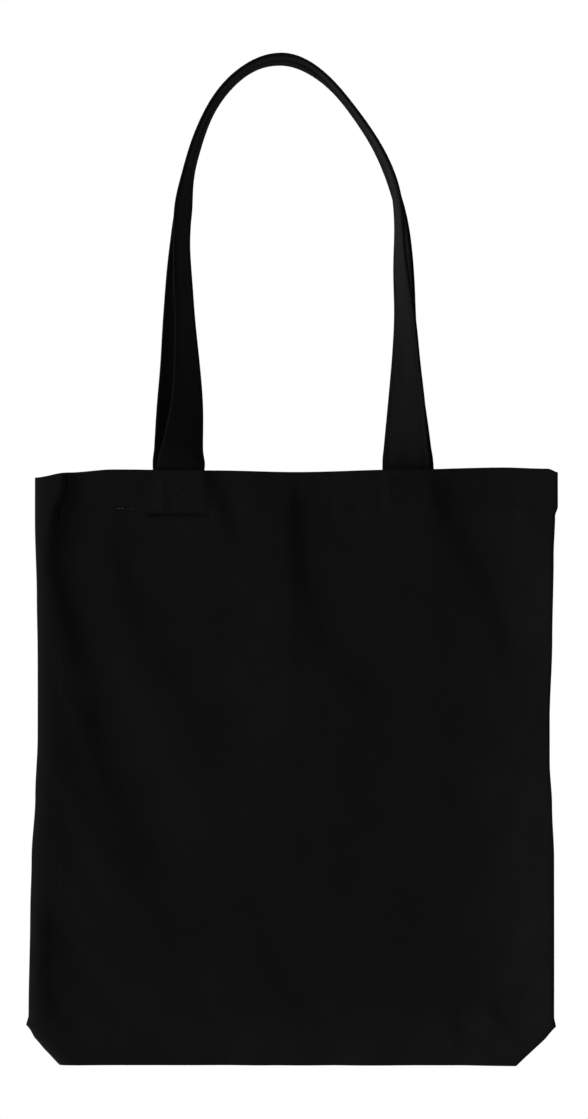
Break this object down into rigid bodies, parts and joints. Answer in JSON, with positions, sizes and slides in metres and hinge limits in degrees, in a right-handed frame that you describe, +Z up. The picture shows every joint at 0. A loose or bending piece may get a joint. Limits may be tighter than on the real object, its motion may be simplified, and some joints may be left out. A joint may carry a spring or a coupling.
{
  "type": "canvas tote bag",
  "caption": "Flat black canvas tote bag with long twisted shoulder straps, a turned-in hem and slanted bottom corners, hanging by its handles.",
  "frame": {"origin": "where the handles hang over a peg: inside the loops' top, midway between the front and back straps", "axes": "+Z up, -Y out of the front of the bag, +X to the right as seen from the front"},
  "size_m": [0.38, 0.074, 0.7352],
  "materials": {
    "canvas": "matt plain-weave cotton canvas",
    "webbing": "matt folded cotton canvas",
    "thread": "soft cotton thread"
  },
  "bodies": {
    "back": {"back_panel": "canvas", "back_hem": "canvas", "back_hem_stitches": "thread", "back_strap_left_end": "webbing", "back_strap_right_end": "webbing", "back_left_box_stitches": "thread", "back_right_box_stitches": "thread", "base_gusset": "canvas", "bottom_seam": "canvas", "left_side_seam": "canvas", "right_side_seam": "canvas", "left_corner_tuck": "canvas", "right_corner_tuck": "canvas", "left_corner_seam": "canvas", "right_corner_seam": "canvas"},
    "front": {"front_panel": "canvas", "front_hem": "canvas", "front_hem_stitches": "thread", "front_strap_left_end": "webbing", "front_strap_right_end": "webbing", "front_left_box_stitches": "thread", "front_right_box_stitches": "thread"},
    "front_handle": {"front_strap": "webbing", "front_strap_stitches": "thread"},
    "back_handle": {"back_strap": "webbing", "back_strap_stitches": "thread"}
  },
  "joints": [
    {"name": "mouth", "type": "hinge", "parent": "back", "child": "front", "pos_m": [0.009, -0.0072, -0.732], "axis": [1, 0, 0], "range_deg": [0, 8]},
    {"name": "front_handle_fold", "type": "hinge", "parent": "front", "child": "front_handle", "pos_m": [0.009, -0.0135, -0.3], "axis": [1, 0, 0], "range_deg": [0, 145]},
    {"name": "back_handle_fold", "type": "hinge", "parent": "back", "child": "back_handle", "pos_m": [0.009, 0.0135, -0.3], "axis": [-1, 0, 0], "range_deg": [0, 145]}
  ]
}
